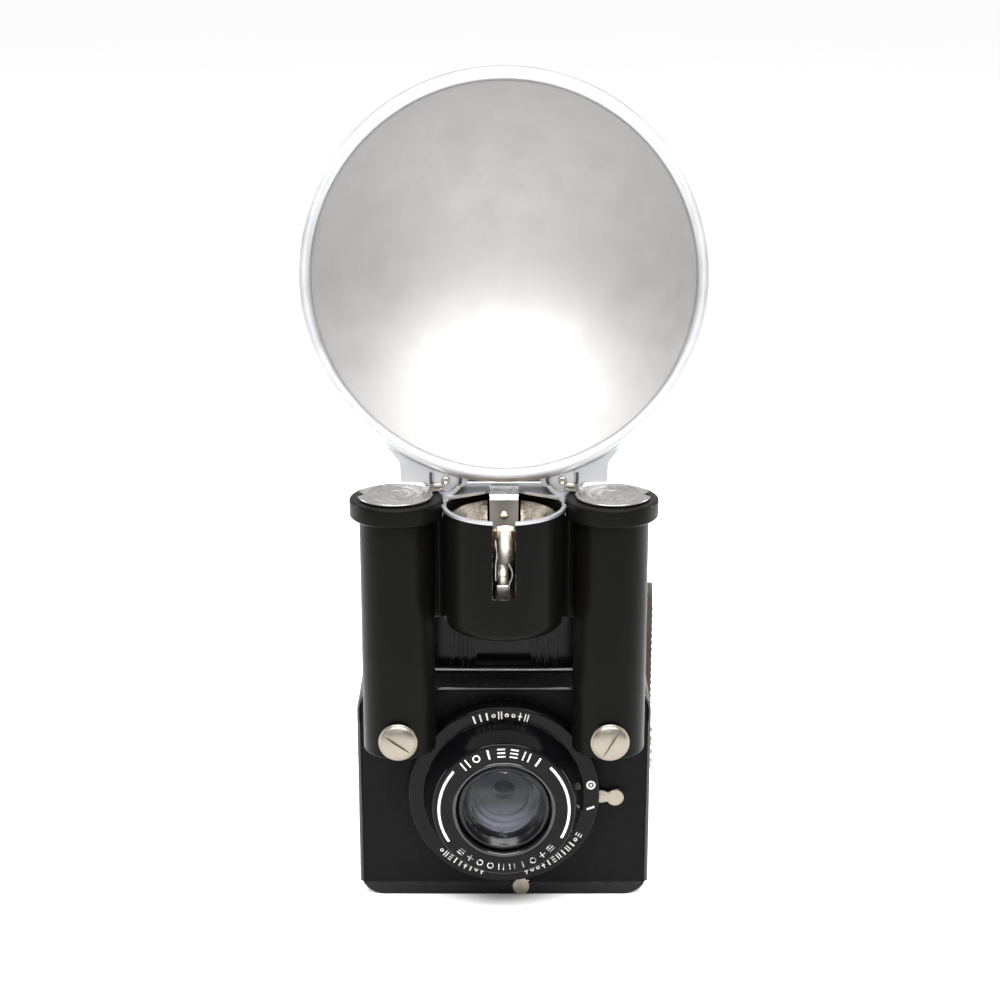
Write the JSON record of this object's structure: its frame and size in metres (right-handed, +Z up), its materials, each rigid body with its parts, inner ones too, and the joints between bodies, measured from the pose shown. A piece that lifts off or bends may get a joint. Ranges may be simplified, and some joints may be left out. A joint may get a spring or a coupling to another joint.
{
  "type": "flash bulb gun on a box camera",
  "caption": "Twin-tube flash bulb gun with a tilting bowl reflector, screwed to the front of a metal roll-film box camera.",
  "frame": {"origin": "centre of the camera's base face", "axes": "+Z up; the lens and the flash look along -Y; +X is the viewer's right when facing the lens"},
  "size_m": [0.1566, 0.132, 0.334],
  "materials": {
    "black_paint": "satin",
    "black_crackle": "crinkled satin",
    "black_gloss": "gloss enamel",
    "tube_enamel": "satin enamel",
    "inner_black": "matt",
    "black_knob": "moulded",
    "steel": "brushed",
    "steel_strip": "rolled",
    "spring_steel": "drawn wire",
    "nickel": "worn nickel plate",
    "socket_nickel": "worn nickel plate",
    "plate_aluminium": "satin",
    "reflector_aluminium": "spun, satin",
    "contact_brass": "worn",
    "cell_jacket": "printed jacket, no lettering",
    "fibre": "pressed fibre",
    "spool_red": "enamel",
    "spool_dark": "enamel",
    "strap_leather": "worn",
    "lens_glass": "polished",
    "finder_glass": "polished",
    "red_glass": "red"
  },
  "bodies": {
    "camera": {"body_shell": "black_paint", "front_panel": "black_crackle", "bottom_plate": "black_paint", "door_hinge_pin": "steel", "film_cone": "inner_black", "lens_flange": "black_gloss", "lens_cone": "black_gloss", "lens_hub": "steel", "shutter_plate": "steel", "release_spring": "spring_steel", "finder_housing": "black_gloss", "finder_front_lens": "finder_glass", "finder_rear_lens": "finder_glass", "strap_stud": "nickel", "panel_screws": "steel"},
    "door": {"back_door": "black_crackle", "red_window": "red_glass", "pressure_plate": "inner_black"},
    "latch": {"door_latch": "nickel"},
    "supply": {"supply_spool": "spool_red"},
    "winder": {"winding_key": "black_knob", "take_up_spool": "spool_dark"},
    "focus": {"lens_cell": "black_gloss", "front_lens": "lens_glass", "focus_lever": "nickel"},
    "mode": {"mode_lever": "nickel"},
    "release": {"shutter_release": "nickel"},
    "blade": {"shutter_blade": "inner_black"},
    "carrying_strap": {"strap": "strap_leather"},
    "gun": {"tube_left": "tube_enamel", "tube_right": "tube_enamel", "web_left": "tube_enamel", "web_right": "tube_enamel", "shroud": "tube_enamel", "top_plate": "plate_aluminium", "hinge_lugs": "plate_aluminium", "hinge_rod": "steel", "cover_rivet_left": "nickel", "cover_rivet_right": "nickel", "cell_left": "cell_jacket", "cell_right": "cell_jacket", "cell_spring_left": "spring_steel", "cell_spring_right": "spring_steel", "cell_insulator_left": "fibre", "cell_insulator_right": "fibre", "socket_shell": "socket_nickel", "socket_insulator": "fibre", "centre_contact": "contact_brass", "contact_finger": "contact_brass"},
    "reflector": {"reflector": "reflector_aluminium"},
    "left_cover": {"cover_left": "nickel", "cover_contact_left": "contact_brass"},
    "right_cover": {"cover_right": "nickel", "cover_contact_right": "contact_brass"},
    "left_screw": {"thumb_screw_left": "nickel"},
    "right_screw": {"thumb_screw_right": "nickel"},
    "bulb_catch": {"bulb_latch": "steel_strip", "latch_rivet": "nickel"}
  },
  "joints": [
    {"name": "door_swing", "type": "hinge", "parent": "camera", "child": "door", "pos_m": [-0.0602, 0.0412, 0.046], "axis": [0, 0, 1], "range_deg": [0, 110]},
    {"name": "latch_slide", "type": "slide", "parent": "camera", "child": "latch", "axis": [0, 0, 1], "range_m": [0, 0.006]},
    {"name": "supply_turn", "type": "hinge", "parent": "camera", "child": "supply", "pos_m": [-0.0455, 0.004, 0.046], "axis": [0, 0, 1], "continuous": true},
    {"name": "winder_turn", "type": "hinge", "parent": "camera", "child": "winder", "pos_m": [0.0455, 0.004, 0.046], "axis": [0, 0, 1], "continuous": true},
    {"name": "focus_turn", "type": "hinge", "parent": "camera", "child": "focus", "pos_m": [0, -0.06, 0.0485], "axis": [0, 1, 0], "range_deg": [-14, 0]},
    {"name": "mode_turn", "type": "hinge", "parent": "camera", "child": "mode", "pos_m": [0, -0.05, 0.0485], "axis": [0, 1, 0], "range_deg": [-7, 7]},
    {"name": "release_press", "type": "slide", "parent": "camera", "child": "release", "axis": [0, 0, -1], "range_m": [0, 0.003], "stiffness_N_per_m": 400, "springref_m": -0.002, "deforming": ["release_spring"]},
    {"name": "blade_swing", "type": "hinge", "parent": "camera", "child": "blade", "pos_m": [-0.017, -0.0424, 0.0545], "axis": [0, 1, 0], "range_deg": [0, 60]},
    {"name": "strap_swing", "type": "hinge", "parent": "camera", "child": "carrying_strap", "pos_m": [0.0605, 0, 0.05], "axis": [1, 0, 0], "range_deg": [-90, 90]},
    {"name": "gun_slide", "type": "slide", "parent": "camera", "child": "gun", "axis": [0, -1, 0], "range_m": [0, 0.04]},
    {"name": "reflector_tilt", "type": "hinge", "parent": "gun", "child": "reflector", "pos_m": [0, -0.03695, 0.17565], "axis": [-1, 0, 0], "range_deg": [0, 30]},
    {"name": "left_cover_swivel", "type": "hinge", "parent": "gun", "child": "left_cover", "pos_m": [-0.0256, -0.05255, 0.177], "axis": [0, 0, 1], "range_deg": [0, 97]},
    {"name": "right_cover_swivel", "type": "hinge", "parent": "gun", "child": "right_cover", "pos_m": [0.0256, -0.05255, 0.177], "axis": [0, 0, -1], "range_deg": [0, 97]},
    {"name": "left_screw_turn", "type": "hinge", "parent": "gun", "child": "left_screw", "pos_m": [-0.0411, -0.06155, 0.0812], "axis": [0, 1, 0], "continuous": true},
    {"name": "right_screw_turn", "type": "hinge", "parent": "gun", "child": "right_screw", "pos_m": [0.0411, -0.06155, 0.0812], "axis": [0, 1, 0], "continuous": true},
    {"name": "bulb_catch_flex", "type": "hinge", "parent": "gun", "child": "bulb_catch", "pos_m": [0, -0.0452, 0.1739], "axis": [1, 0, 0], "range_deg": [0, 9], "stiffness_Nm_per_rad": 0.05, "springref_deg": -5.73}
  ],
  "couplings": [
    {"joint": "blade_swing", "follows": "release_press", "rad_per_m": 300}
  ]
}
